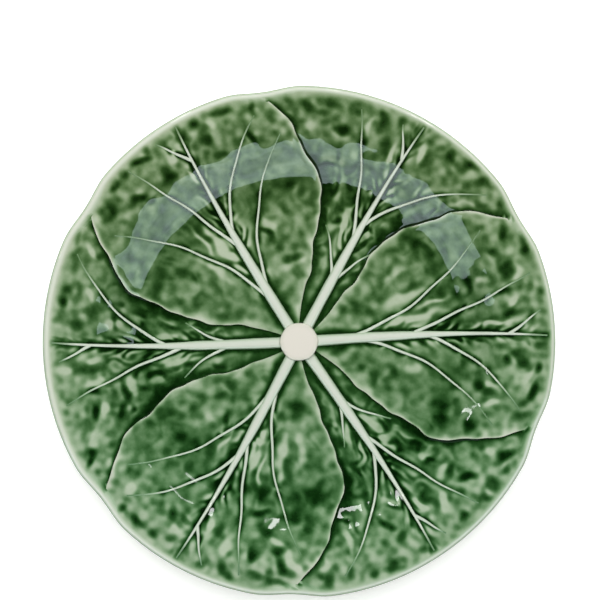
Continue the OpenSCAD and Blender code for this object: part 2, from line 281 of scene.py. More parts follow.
# Leaf surface: soft puffs, winding creases, strokes that run out from the ribs, a coarser crinkle on the
# rim, and swells on the wall. Each leaf reads its own part of the crinkle, turned with its rib.
puffs = 0.6 * crinkle(7, 11, 0.45) + 0.45 * crinkle(8, 20) + 0.5 * crinkle(9, 6, 0.4)
worms = crinkle(12, 7.0, 0.3)
brush = crinkle(11, 4.6, 0.35)
drift_x, drift_y = crinkle(41, 11), crinkle(42, 11)
mottle, wind, strokes = (np.zeros((plan_n, plan_n)) for _ in range(3))
for k in range(6):
    lean = math.radians(tip_angle(k))
    u = plan_x * math.cos(lean) + plan_y * math.sin(lean)
    v = plan_y * math.cos(lean) - plan_x * math.sin(lean)
    right = margin_angle(k - 1, plan_r)
    here = (plan_a - right) % 360 < (margin_angle(k, plan_r) - right) % 360
    mottle = np.where(here, read_plan(puffs, u + 31 * k, v), mottle)
    wind = np.where(here, read_plan(worms, (u + 1.8 * drift_x) / 1.3 + 23 * k, v + 1.8 * drift_y), wind)
    slant = u - (1.3 if is_upper(k) else 1.7) * np.abs(v)
    stroke = read_plan(brush, (slant + drift_x) * 0.8 + 17 * k, v / 2.6 + drift_y)
    strokes = np.where(here, stroke, strokes)
rim_wind = 0.6 * crinkle(23, 10, 0.4) + 0.5 * crinkle(25, 5.0, 0.4) + 0.3 * crinkle(24, 20)
swells = crinkle(31, 11, 0.3) * (1 - 0.85 * hump(turn_between(plan_a, 27), 0, 12))
swells *= 0.3 + 0.7 * swell_between(-50, -15, plan_y)
stroke_zone = hump(rib_gap, 0, np.where(upper_here, 4.0, 5.5))
stroke_zone = stroke_zone * swell_between(20, 46, plan_r) * (1 - swell_between(62, 80, plan_r))
tucked_zone = np.where(upper_here, 0, swell_between(22, 34, plan_r)) * (1 - stroke_zone)
rim_zone = swell_between(66, 84, plan_r)
relief = 0.56 * mottle * (1 - 0.5 * tucked_zone) + 0.9 * wind * np.maximum(tucked_zone, 0.13)
relief = relief * (1 - rim_zone)
relief += 0.46 * rim_wind * rim_zone + 0.85 * stroke_zone * strokes

# Soft patches between the veins where the glaze lies deeper, or thinner if the last number is negative:
# direction, radius, size along the rim and across it, lean, and how much deeper it is.
patches = [
    (50.8, 93.5, 4.2, 6, 0, 1.2), (45.7, 95.7, 5, 4.6, 0, 1.2), (54.5, 87, 5, 8, 0, 0.8),
    (28, 90.7, 7.5, 4.4, 30, 1.1), (24.8, 83.2, 6.5, 4.2, -15, 1.0), (19, 85.7, 8, 4.4, 35, 1.5),
    (19, 69.4, 9.5, 4, 0, 1.2), (13.5, 83.2, 2.6, 5.5, 0, 1.1), (8, 84, 3.8, 12, 0, 1.0),
    (23, 95.3, 9, 4.4, 0, 0.7), (41, 95.7, 5, 4, 0, 0.7), (33.5, 95, 3, 5, 0, 0.5),
    (115.8, 95, 5.4, 4.4, 0, 0.9), (109.2, 95.3, 9, 3.8, 15, 1.1), (114.8, 86, 4.2, 5.4, 0, 1.3),
    (101.2, 93, 2.6, 6, 0, 0.7), (87.8, 91.8, 8, 4.2, 38, 1.2), (83, 94.2, 9, 4.6, 10, 0.9),
    (78.3, 84.6, 6, 4, 20, 1.7), (69, 92.5, 5, 7, 0, 1.0), (76.5, 93.2, 4.8, 6, 0, 0.8),
    (72.5, 81.8, 3, 4.6, 0, 1.2), (67, 84, 4.4, 9, 0, 1.0), (102.8, 81.8, 3, 7, -20, 1.3),
    (113, 79.7, 4.6, 3, 0, 0.9), (169.3, 93.9, 7.4, 4.4, 0, 1.3), (175.3, 86.4, 4.8, 6.4, 0, 1.2),
    (154.3, 95.3, 5.6, 2.6, 0, 0.9), (146, 89.3, 8.6, 6.6, 0, 1.2), (138.5, 83.6, 7, 3.8, 30, 1.7),
    (139.5, 94.2, 5, 4, 0, 1.1), (131.3, 93.9, 7.6, 3.8, 25, 1.3), (128.8, 96.4, 2.6, 4, 0, 1.0),
    (127.8, 82.5, 6.8, 6, 0, 1.2), (136.5, 95, 3.4, 4.6, 25, 1.0), (172.5, 80.4, 8, 4.6, 0, 0.7),
    (136, 79.7, 5.4, 2.6, 0, 0.9), (232.5, 93.9, 6, 5.4, 30, 1.1), (227.5, 94.6, 5.4, 4.2, 25, 1.2),
    (223, 94.2, 3.8, 3.6, 0, 1.4), (234.5, 84.3, 6.2, 4.6, 0, 1.1), (237.8, 82.2, 4, 2.8, 0, 1.0),
    (209, 92.5, 9.5, 3.2, 50, 1.2), (199.3, 84.3, 7, 3.8, 10, 1.7), (193.3, 82.2, 2.8, 5.4, 20, 1.3),
    (196.3, 70.8, 8, 3, 0, 1.2), (187.5, 82.5, 3.8, 9, 0, 0.8), (202, 74, 6, 3, 30, 1.0),
    (293.3, 95, 7.4, 4.6, 0, 1.2), (288.3, 93.9, 6.4, 5.2, -20, 1.2), (297.8, 86, 3.8, 5.4, 0, 1.2),
    (295.5, 79, 6, 3.4, 35, 1.2), (282.8, 92.8, 3.4, 5, -15, 0.9), (276.8, 92, 4.2, 5.4, 0, 1.1),
    (266, 88.2, 9, 4, 55, 1.2), (264, 93.9, 9.6, 4.6, 10, 1.0), (258.5, 93.2, 7.4, 4.6, 0, 1.0),
    (258, 83.9, 4.6, 5.6, 0, 1.7), (252, 93.9, 8, 4.6, 45, 1.2), (264, 82.5, 4.6, 4.8, 0, 1.1),
    (246, 95.3, 3.4, 4.8, 0, 1.0), (260, 74.7, 7, 4.6, 0, 1.1), (247, 81, 3.8, 9, 0, 0.9),
    (272.5, 73.3, 4.4, 7.4, 0, 0.8), (268, 68.7, 8, 6, 0, 1.3), (257.5, 69, 8, 3, 0, 1.2),
    (353.3, 93.9, 4.2, 4.2, 0, 1.1), (347.8, 93.2, 7.6, 3.6, 25, 1.6), (356.5, 86.4, 5, 6.2, 0, 1.1),
    (354.8, 80.7, 5, 4.6, 0, 1.1), (340.8, 90, 4.2, 7, 0, 1.0), (346.8, 71.9, 4.2, 3.8, 0, 1.2),
    (333.8, 74.3, 7.4, 4.6, -15, 1.2), (331.3, 92, 8.4, 3.8, 30, 1.6), (323.8, 94.2, 4.2, 6, 0, 1.2),
    (321.3, 83.6, 6.2, 3.6, 40, 1.8), (319.8, 93.9, 4.2, 4.6, 0, 1.0), (313, 93.9, 4.2, 4.6, 0, 1.0),
    (309.5, 79.7, 4, 13, 0, 1.0), (319, 77.6, 8, 2.6, -15, 1.0), (328.5, 95, 4.2, 3.4, 0, 0.9),
    (345.5, 76, 2.6, 7, 20, 0.9), (359, 94.6, 5, 4.6, 0, 0.8), (305.8, 86, 2.6, 6, 0, 0.9),
    (319, 69, 7, 3, 10, 1.0), (4.8, 90, 4, 8, 0, 0.4),
    (40, 83.5, 9, 3.2, -50, -0.7), (18, 89, 4.8, 4.6, 0, -0.7), (11.3, 84.6, 7, 3, 50, -0.8),
    (5.5, 76, 2.2, 14, 0, -0.9), (18.5, 75.4, 4, 3.6, 0, -0.6), (57, 88, 3, 9, -15, -0.6),
    (112, 91, 4.2, 3.6, 0, -0.5), (87, 85.2, 5, 4.6, 20, -0.6), (72, 88, 2.6, 8, 0, -0.6),
    (64, 81, 2.4, 8, 0, -0.9), (122.6, 74, 2.4, 12, 0, -0.8), (125, 86, 3, 8, 10, -0.6),
    (185, 80.4, 3, 6.6, 0, -0.9), (191.5, 81, 4, 9, 15, -0.8), (199, 79.7, 4.8, 3.2, 0, -0.9),
    (194.5, 67, 7, 3.2, 10, -0.9), (187, 92, 4.8, 4.6, 0, -0.7), (268, 85.4, 7.6, 3, 60, -0.8),
    (284, 80.4, 3, 9, -10, -0.8), (250.5, 84.5, 3.6, 9, 15, -0.9), (276.5, 87, 3.4, 5, 0, -0.7),
    (244, 79, 2.6, 6, 0, -0.7), (263.5, 78.5, 7, 3, 45, -0.6), (312.6, 84, 4, 8, 20, -0.9),
    (306.5, 79, 2.4, 8, 0, -0.8), (318.5, 65.5, 8, 4.4, 0, -1.0), (318, 75, 6, 3.2, 10, -0.7),
    (330, 86, 7, 4, 45, -0.5), (342, 79.5, 3, 7, -25, -0.7), (347.5, 75.5, 3.4, 6, 15, -0.6),
    (351.5, 89, 6, 4, 20, -0.5), (205.5, 88, 9, 3, 50, -0.5), (213.5, 88, 9, 3.6, 45, -0.6),
    (69.5, 47, 3.6, 23, 0, -1.0), (75.5, 54, 3.2, 17, 0, -0.9), (53.5, 49, 3.6, 21, 0, -0.9),
    (58.3, 50, 1.6, 11, 0, -0.7), (12, 45, 3.2, 23, 0, -1.0), (16.5, 55, 2, 12, 0, -0.8),
    (23, 47, 4.4, 25, 0, -0.6), (129, 48, 3.2, 21, 0, -1.0), (134, 55, 2, 15, 0, -0.8),
    (139, 42, 3.2, 16, 0, -0.7), (188.5, 50, 3.2, 15, 0, -1.0), (194.5, 55, 2.8, 13, 0, -0.8),
    (177.5, 52, 1.6, 9, 0, -0.8), (171, 52, 3.2, 16, 0, -0.8), (249, 45, 3.2, 23, 0, -1.0),
    (253.5, 54, 2, 14, 0, -0.8), (261, 46, 4, 25, 0, -0.8), (272, 41, 4, 18, 5, -0.6),
    (311.5, 46, 3.2, 21, 0, -0.9), (320, 55, 3, 16, -10, -1.0), (296.5, 41, 4, 12, 15, -0.8),
    (291, 54, 3, 15, 0, -0.8), (317, 43, 6, 3.2, 25, -0.7), (36, 46, 4, 12, 10, -0.5),
    (91, 58, 3, 8, 0, -0.5), (104, 46, 4, 9, -25, -0.5), (94, 30, 12, 3, -20, -0.4),
    (221, 46, 6, 6, 20, -0.5), (234, 50, 1.8, 10, 0, -0.7), (348, 46, 6, 5, 20, -0.5),
    (95, 33, 7, 3.6, -15, 0.8), (107, 45, 6, 2.2, 55, 0.9), (101, 38, 4, 4, 0, 0.6),
    (154, 26, 8, 7, 0, 0.7), (211, 32, 7, 4, -15, 0.8), (227, 43, 6, 2, 60, 0.9), (218, 36, 4, 4, 0, 0.6),
    (214, 22, 7, 3, -10, 0.6), (335, 32, 7, 4, -15, 0.8), (340, 38, 5, 4, 0, 0.5), (33, 26, 8, 7, 0, 0.7),
    (270, 27, 8, 7, 0, 0.7), (41, 59, 6, 5, 20, 1.0), (35, 61, 7, 3, 0, 0.9), (276, 60, 7, 7, 0, 1.2),
    (336, 61, 12, 5, 0, 0.8), (160, 60, 12, 5, 0, 0.7), (221, 58, 10, 6, 0, 0.6), (70.5, 61, 4, 6, 0, 1.0),
    (309, 60, 4, 8, 0, 0.8), (318, 61, 5, 5, 0, 1.1), (255, 61, 7, 5, 0, 0.9), (190, 61, 5, 6, 0, 0.8),
    (221.5, 87.5, 5, 4, 0, -0.6), (236.5, 88.5, 4, 5, -15, -0.6), (167, 84, 6, 3, -30, -0.6),
    (174.5, 73, 4, 5, 0, -0.8), (156.5, 88, 7, 3, -45, -0.6), (298, 68, 4, 5, 0, -0.7)]
patch_map = np.zeros((plan_n, plan_n))
for a, r, along_rim, across_rim, lean, deeper in patches:
    cx, cy = on_plan(r, a)
    turned = math.radians(a + 90 - lean)
    dx, dy = plan_x - cx + 0.5 * drift_x, plan_y - cy + 0.5 * drift_y
    u = dx * math.cos(turned) + dy * math.sin(turned)
    v = dy * math.cos(turned) - dx * math.sin(turned)
    patch_map += deeper * np.exp(-((2 * u / along_rim)**2 + (2 * v / across_rim)**2)**1.25)

# Glaze depth over the plan; a depth of 1 lets a little over a third of the green light through. The
# glaze is deeper in creases, at the foot of the wall and beside ribs and veins, and thinner on puffs and
# the rim. The hollow at the foot of the wall also carries painted shade.
even_depth = 1.38
puff_limit, crease_gain, skin_share = 1.3, 1.25, 0.5
deep_patch_share, thin_patch_share = 1.05, 1.45
wall_foot_pool_and_shade, far_wall_depth, rim_thinning = 0.62, 0.25, 0.26
rib_pool_depth, rib_pool_fall, vein_pool_depth = 2.7, 1.5, 1.8
least_depth, least_softness = 0.36, 4
leaf_skin = np.where(relief > 0, puff_limit * np.tanh(relief / puff_limit), crease_gain * relief)
patch_share = np.where(patch_map > 0, deep_patch_share, thin_patch_share)
glaze = even_depth - skin_share * leaf_skin + patch_share * patch_map
# Deeper glaze and painted shade in the hollow at the foot of the wall.
glaze += wall_foot_pool_and_shade * hump(plan_r, 60.5, 5.5)
glaze += far_wall_depth * hump(plan_r, 72, 7) * swell_between(-10, 40, plan_y)
glaze -= rim_thinning * swell_between(74, 90, plan_r) * (1.1 - plan_y / 90)
rib_pool_w = (1.3 + 1.15 * hump(plan_r, 9, 9)) * np.exp(-0.3 * strokes * swell_between(22, 50, plan_r))
rib_pool = np.exp(-(np.maximum(rib_gap, 0) / rib_pool_w)**1.6)
glaze += (rib_pool_depth - rib_pool_fall * swell_between(70, 90, plan_r)) * rib_pool
glaze += vein_pool_depth * vein_pool * np.clip(0.8 + 0.35 * wind, 0, 1.3)

# Melted glaze draws back from crests into hollows, which makes its depth crisper than the clay's relief.
glaze += (0.95 + 0.35 * swell_between(66, 84, plan_r)) * (glaze - blurred(glaze, 1.5))
over_least = np.minimum(least_softness * (glaze - least_depth), 30)
glaze = least_depth + np.log1p(np.exp(over_least)) / least_softness
crest_run = 1 + 0.3 * crinkle(51, 9)
pool_run = 1 + 0.4 * crinkle(52, 8)


def glaze_and_shade_at(x, y, m):
    """Glaze depth on the upper face, m inside an upper leaf's margin, or outside it where m is negative.

    It runs thin on the crest of the margin and pools on the tucked leaf below it, and a wider painted
    shade darkens the tucked leaf near the margin. At the plate's edge it thins out to a pale band.
    """
    depth = read_plan(glaze, x, y)
    r = np.hypot(x, y)
    in_well = np.exp(-(r / 36)**4)
    crest_w = 0.85 + 2.0 * np.exp(-r / 28)
    crest_depth = 0.17 + 0.3 * hump(r, 0, 30)
    crest = np.exp(-(np.maximum(m, 0) / crest_w)**1.5) * np.clip(read_plan(crest_run, x, y), 0.6, 1)
    pool_w = 1.3 + 2.7 * hump(r, 57, 13) + 0.8 * in_well
    pool_w = pool_w * np.clip(read_plan(pool_run, x, y), 0.5, 1.5)
    pool_depth = 3.8 - 0.6 * in_well
    pool = np.exp(-(np.maximum(-m, 0) / pool_w)**1.6)
    # Painted shade on the tucked leaf beside the upper leaf's margin, where it lies under the lap.
    shade = 0.5 * hump(np.minimum(m, 0), 0, 6.5) * hump(r, 56, 16)
    depth = depth - (0.35 + 0.3 * np.exp(-r / 30)) * np.where(m > 0, np.exp(-m / 3.5), 0)
    on_upper = depth + (crest_depth - depth) * crest
    on_tucked = depth + shade + (pool_depth - depth) * pool
    depth = np.where(m >= 0, on_upper, on_tucked)
    deepest = 3.3 + 1.1 * swell_between(44, 56, r)
    depth = deepest - np.log1p(np.exp(4 * (deepest - depth))) / 4
    edge = (outline(np.degrees(np.arctan2(y, x))) - r) * (0.97 + 0.3 * (x - 0.3 * y) / rim_r)
    fade = swell_between(1.3, 4.8, edge)
    band = 0.07 + 0.3 * swell_between(0.9, 2.6, edge)
    return np.clip(depth * fade + band * (1 - fade), 0.03, 4.4)


def glaze_over_clay():
    """Node group: clay seen through a depth of green glaze, which takes most from red and blue.

    It takes a little less red towards the far side, where the glaze is warmer in tone.
    """
    group = bpy.data.node_groups.new("glaze over clay", "ShaderNodeTree")
    sockets = group.interface
    sockets.new_socket("Clay", in_out="INPUT", socket_type="NodeSocketColor")
    sockets.new_socket("Depth", in_out="INPUT", socket_type="NodeSocketFloat")
    sockets.new_socket("Mottling", in_out="INPUT", socket_type="NodeSocketFloat")
    sockets.new_socket("Color", in_out="OUTPUT", socket_type="NodeSocketColor")
    sockets.new_socket("Waves", in_out="OUTPUT", socket_type="NodeSocketFloat")
    n, wire = group.nodes, group.links.new
    inlet, outlet = n.new("NodeGroupInput"), n.new("NodeGroupOutput")
    place = n.new("ShaderNodeTexCoord")
    mottle = n.new("ShaderNodeTexNoise")
    mottle.inputs["Scale"].default_value = 520
    mottle.inputs["Detail"].default_value = 4
    wire(place.outputs["Object"], mottle.inputs["Vector"])
    centred = n.new("ShaderNodeMath")
    centred.operation = "SUBTRACT"
    centred.inputs[1].default_value = 0.5
    wire(mottle.outputs["Fac"], centred.inputs[0])
    uneven = n.new("ShaderNodeMath")
    uneven.operation = "MULTIPLY"
    wire(centred.outputs[0], uneven.inputs[0])
    wire(inlet.outputs["Mottling"], uneven.inputs[1])
    factor = n.new("ShaderNodeMath")
    factor.operation = "ADD"
    factor.inputs[1].default_value = 1
    wire(uneven.outputs[0], factor.inputs[0])
    depth = n.new("ShaderNodeMath")
    depth.operation = "MULTIPLY"
    wire(inlet.outputs["Depth"], depth.inputs[0])
    wire(factor.outputs[0], depth.inputs[1])
    parts = n.new("ShaderNodeSeparateColor")
    wire(inlet.outputs["Clay"], parts.inputs[0])
    whole = n.new("ShaderNodeCombineColor")
    across = n.new("ShaderNodeSeparateXYZ")
    wire(place.outputs["Object"], across.inputs[0])
    red_power = n.new("ShaderNodeMapRange")
    red_power.inputs["From Min"].default_value = -0.05
    red_power.inputs["From Max"].default_value = 0.06
    red_power.inputs["To Min"].default_value = -1.6
    red_power.inputs["To Max"].default_value = -1.41
    wire(across.outputs["Y"], red_power.inputs["Value"])
    taken_of_red_green_blue = (1.6, 1.0, 1.6)
    for channel, taken in enumerate(taken_of_red_green_blue):
        power = n.new("ShaderNodeMath")
        power.operation = "MULTIPLY"
        power.inputs[1].default_value = -taken
        wire(depth.outputs[0], power.inputs[0])
        if channel == 0:
            wire(red_power.outputs["Result"], power.inputs[1])
        passed = n.new("ShaderNodeMath")
        passed.operation = "EXPONENT"
        wire(power.outputs[0], passed.inputs[0])
        seen = n.new("ShaderNodeMath")
        seen.operation = "MULTIPLY"
        wire(passed.outputs[0], seen.inputs[0])
        wire(parts.outputs[channel], seen.inputs[1])
        wire(seen.outputs[0], whole.inputs[channel])
    wire(whole.outputs[0], outlet.inputs["Color"])
    waves = n.new("ShaderNodeTexNoise")
    waves.inputs["Scale"].default_value = 160
    waves.inputs["Detail"].default_value = 2
    wire(place.outputs["Object"], waves.inputs["Vector"])
    wire(waves.outputs["Fac"], outlet.inputs["Waves"])
    return group


glaze_group = glaze_over_clay()


def glazed(name, clay, mottling):
    """Material: glossy glaze whose depth is the piece's own glaze_and_shade_depth attribute."""
    material = bpy.data.materials.new(name)
    material.use_nodes = True
    n, wire = material.node_tree.nodes, material.node_tree.links.new
    shader = n["Principled BSDF"]
    depth = n.new("ShaderNodeAttribute")
    depth.attribute_name = "glaze_and_shade_depth"
    coat = n.new("ShaderNodeGroup")
    coat.node_tree = glaze_group
    coat.inputs["Clay"].default_value = (*clay, 1)
    coat.inputs["Mottling"].default_value = mottling
    wire(depth.outputs["Fac"], coat.inputs["Depth"])
    wire(coat.outputs["Color"], shader.inputs["Base Color"])
    dull = n.new("ShaderNodeMapRange")
    dull.inputs["To Min"].default_value = 0.02
    dull.inputs["To Max"].default_value = 0.05
    wire(coat.outputs["Waves"], dull.inputs["Value"])
    wire(dull.outputs["Result"], shader.inputs["Roughness"])
    bump = n.new("ShaderNodeBump")
    bump.inputs["Strength"].default_value = 0.15
    bump.inputs["Distance"].default_value = 0.0001
    wire(coat.outputs["Waves"], bump.inputs["Height"])
    wire(bump.outputs["Normal"], shader.inputs["Normal"])
    shader.inputs["IOR"].default_value = 1.5
    return material


def give_depth(mesh, depth):
    """Writes the glaze depth, with any painted shade in it, of each point of a mesh."""
    layer = mesh.attributes.new("glaze_and_shade_depth", "FLOAT", "POINT")
    layer.data.foreach_set("value", depth.astype(np.float32))


def mesh_points(mesh):
    """Points of a mesh, one row each."""
    co = np.empty(len(mesh.vertices) * 3, np.float32)
    mesh.vertices.foreach_get("co", co)
    return co.reshape(-1, 3).astype(float)


def set_points(mesh, x, y, z):
    """Moves the points of a mesh to places in millimetres."""
    mesh.vertices.foreach_set("co", (np.stack([x, y, z], axis=-1) * MM).astype(np.float32).ravel())
    mesh.update()


def add_piece(name, mesh, material):
    piece = bpy.data.objects.new(name, mesh)
    bpy.context.scene.collection.objects.link(piece)
    mesh.materials.append(material)
    return piece


# The section runs over the top, round the edge and back under it, and is spun about the middle.
well_rings, wall_rings, nose_rings, base_rings = 14, 40, 17, 70
spin_steps = 360
top_r = np.concatenate([np.linspace(0, well_r, well_rings),
                        np.linspace(well_r, rim_r - nose_depth, wall_rings)[1:]])
nose_turn = np.linspace(math.pi / 2 + rim_angle, rim_angle - math.pi / 2, nose_rings)
nose_mid_r = rim_r - nose_depth + nose_r * math.sin(rim_angle)
nose_mid_z = float(clay_height(np.array(rim_r - nose_depth))) - nose_r * math.cos(rim_angle)
under_r = top_r[:well_rings - 1:-1]
section = [(r, z) for r, z in zip(top_r, clay_height(top_r))]
section += [(nose_mid_r + nose_r * math.cos(t), nose_mid_z + nose_r * math.sin(t))
            for t in nose_turn[1:-1]]
section += [(r + clay_t * math.sin(s), z - clay_t * math.cos(s))
            for r, z, s in zip(under_r, clay_height(under_r), clay_slope(under_r))]
section += [(r, foot_h) for r in np.linspace(well_r, 0, base_rings)]
bm = bmesh.new()
rail = [bm.verts.new((r, 0, z)) for r, z in section]
edges = [bm.edges.new(pair) for pair in zip(rail[:-1], rail[1:])]
bmesh.ops.spin(bm, geom=rail + edges, cent=(0, 0, 0), axis=(0, 0, 1), dvec=(0, 0, 0),
               angle=2 * math.pi, steps=spin_steps, use_merge=True, use_normal_flip=False,
               use_duplicate=False)
bmesh.ops.remove_doubles(bm, verts=bm.verts, dist=1e-4)
bmesh.ops.recalc_face_normals(bm, faces=bm.faces)
body_mesh = bpy.data.meshes.new("plate_body")
bm.to_mesh(body_mesh)
bm.free()
x, y, z = mesh_points(body_mesh).T
r, a = np.hypot(x, y), np.degrees(np.arctan2(y, x))
drawn_in = 1 - (rim_r - outline(a)) * swell_between(86, 97.5, r) / np.maximum(r, 1)
x, y = x * drawn_in, y * drawn_in
set_points(body_mesh, x, y, z)
body_mesh.shade_smooth()

# A thin line of painted shade darkens the rounded edge. Below it the glaze is thin and nearly clear, with
# a little green pooled against both sides of the foot ring.
foot_outer_r = well_r - 2
foot_inner_r = foot_outer_r - 5
painted_edge_shade_depth, clear_depth, foot_pool_depth = 1.1, 0.14, 0.55
above = swell_between(-1.0, -0.3, z - nose_mid_z)
below = z < clay_height(np.hypot(x, y)) - 2.2
top_depth = glaze_and_shade_at(x, y, read_plan(margin_gap, x, y))
# Painted shade: a darker line on the outer face of the rounded edge, where it turns away from the light.
top_depth += painted_edge_shade_depth * hump(z - nose_mid_z, 0.35, 0.75) * (r > nose_mid_r + 0.9)
foot_pools = sum(hump(np.hypot(x, y), ring_r, 1.4) for ring_r in (foot_outer_r, foot_inner_r))
under_depth = np.maximum(0.16 + 0.05 * read_plan(puffs, x, y) + foot_pool_depth * foot_pools, 0.03)
give_depth(body_mesh, np.where(below, under_depth, top_depth * above + clear_depth * (1 - above)))
body = add_piece("plate_body_glazed", body_mesh, glazed("glazed clay", (0.70, 0.72, 0.64), 0.25))
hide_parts("plate_body")
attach(body, "root")

# The foot ring
# A low ring turned on the underside, wiped free of glaze before firing so that it doesn't stick to the
# kiln shelf; it is bare, slightly gritty clay with its lower edges rounded by a sponge.
foot_draft = 0.5
foot_edge_r = 0.9
edge_inset = foot_draft + foot_edge_r
sunk_in, flare = 0.3, 0.4
round_off = np.linspace(0, math.pi / 2, 7)
ring = [(foot_inner_r - flare, foot_h + sunk_in), (foot_inner_r, foot_h - 0.1)]
ring += [(foot_inner_r + edge_inset - foot_edge_r * math.cos(t), foot_edge_r - foot_edge_r * math.sin(t))
         for t in round_off]
ring += [(foot_outer_r - edge_inset + foot_edge_r * math.sin(t), foot_edge_r - foot_edge_r * math.cos(t))
         for t in round_off]
ring += [(foot_outer_r, foot_h - 0.1), (foot_outer_r + flare, foot_h + sunk_in)]
bm = bmesh.new()
rail = [bm.verts.new((r, 0, z)) for r, z in ring]
edges = [bm.edges.new(pair) for pair in zip(rail, rail[1:] + rail[:1])]
bmesh.ops.spin(bm, geom=rail + edges, cent=(0, 0, 0), axis=(0, 0, 1), dvec=(0, 0, 0),
               angle=2 * math.pi, steps=300, use_merge=True, use_normal_flip=False,
               use_duplicate=False)
bmesh.ops.recalc_face_normals(bm, faces=bm.faces)
ring_mesh = bpy.data.meshes.new("foot_ring")
bm.to_mesh(ring_mesh)
bm.free()
x, y, z = mesh_points(ring_mesh).T
set_points(ring_mesh, x, y, z)
ring_mesh.shade_smooth()


def bare_clay():
    """Material: unglazed earthenware, gritty, with darker rubbed patches."""
    material = bpy.data.materials.new("bare clay")
    material.use_nodes = True
    n, wire = material.node_tree.nodes, material.node_tree.links.new
    shader = n["Principled BSDF"]
    place = n.new("ShaderNodeTexCoord")
    patches, grit = n.new("ShaderNodeTexNoise"), n.new("ShaderNodeTexNoise")
    patches.inputs["Scale"].default_value = 60
    patches.inputs["Detail"].default_value = 6
    grit.inputs["Scale"].default_value = 1600
    grit.inputs["Detail"].default_value = 3
    wire(place.outputs["Object"], patches.inputs["Vector"])
    wire(place.outputs["Object"], grit.inputs["Vector"])
    tone = n.new("ShaderNodeValToRGB")
    tone.color_ramp.elements[0].position = 0.3
    tone.color_ramp.elements[0].color = (0.50, 0.42, 0.31, 1)
    tone.color_ramp.elements[1].position = 0.7
    tone.color_ramp.elements[1].color = (0.68, 0.60, 0.48, 1)
    wire(patches.outputs["Fac"], tone.inputs["Fac"])
    wire(tone.outputs["Color"], shader.inputs["Base Color"])
    dull = n.new("ShaderNodeMapRange")
    dull.inputs["To Min"].default_value = 0.7
    dull.inputs["To Max"].default_value = 0.95
    wire(grit.outputs["Fac"], dull.inputs["Value"])
    wire(dull.outputs["Result"], shader.inputs["Roughness"])
    bump = n.new("ShaderNodeBump")
    bump.inputs["Strength"].default_value = 0.6
    bump.inputs["Distance"].default_value = 0.00015
    wire(grit.outputs["Fac"], bump.inputs["Height"])
    wire(bump.outputs["Normal"], shader.inputs["Normal"])
    return material


foot = add_piece("foot_ring_bare", ring_mesh, bare_clay())
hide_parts("foot_ring")
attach(foot, "root")

# The leaf blades
# Six moulded leaves, three upper ones that lap over three tucked ones. Each is a closed sheet from the
# stalk to the rim: its margin curls up or dips under, and its skin is puffed between the veins.
blade_t = 1.1
lap_h = 0.8
swell_h = 0.7
curl_h = 0.5
tuck_h = 0.3
margin_power = 7
lip_h, puff_h, wall_swell_h = 0.12, 0.03, 0.17
rim_roll_w = 10.3
upper_end_t, tucked_end_t = 0.09, 0.03
blade_sunk = 0.1
leaf_green = glazed("green leaf glaze", (0.69, 0.69, 0.61), 0.5)


def blade_thickness(k, x, y):
    """Thickness of leaf k over the clay at points of the plan, with its skin's bumps.

    s runs from 0 at the rib to 1 at the margin. The blade lies flatter near the stalk, and rolls off
    towards the rim.
    """
    r, a = np.hypot(x, y), np.degrees(np.arctan2(y, x))
    rib = rib_angle(k, r)
    turn = turn_between(a, rib)
    to_left, to_right = margin_angle(k, r) - rib, rib - margin_angle(k - 1, r)
    s = np.minimum(np.abs(np.where(turn > 0, turn / to_left, turn / to_right)), 1)
    m = read_plan(margin_gap, x, y)
    snug = np.clip(r / 60, 0.25, 1)
    swell = swell_h * snug * np.sin(np.pi * s)
    if is_upper(k):
        whole = blade_t + lap_h + swell + curl_h * snug * s**margin_power
        lip = lip_h * hump(m, 1.1, 0.9)
    else:
        whole = blade_t + swell - tuck_h * snug * s**margin_power
        lip = 0
    on_wall = swell_between(71, 76, r) * (1 - swell_between(76, 88, r))
    skin = puff_h * read_plan(relief, x, y) + wall_swell_h * on_wall * read_plan(swells, x, y)
    near_ridge = hump(np.maximum(read_plan(rib_gap, x, y), 0), 0, 1.5)
    whole = whole + lip + skin * (1 - 0.7 * near_ridge)
    roll = 1 - swell_between(0, rim_roll_w, outline(a) - leaf_inset - r)
    return whole + ((upper_end_t if is_upper(k) else tucked_end_t) - whole) * roll


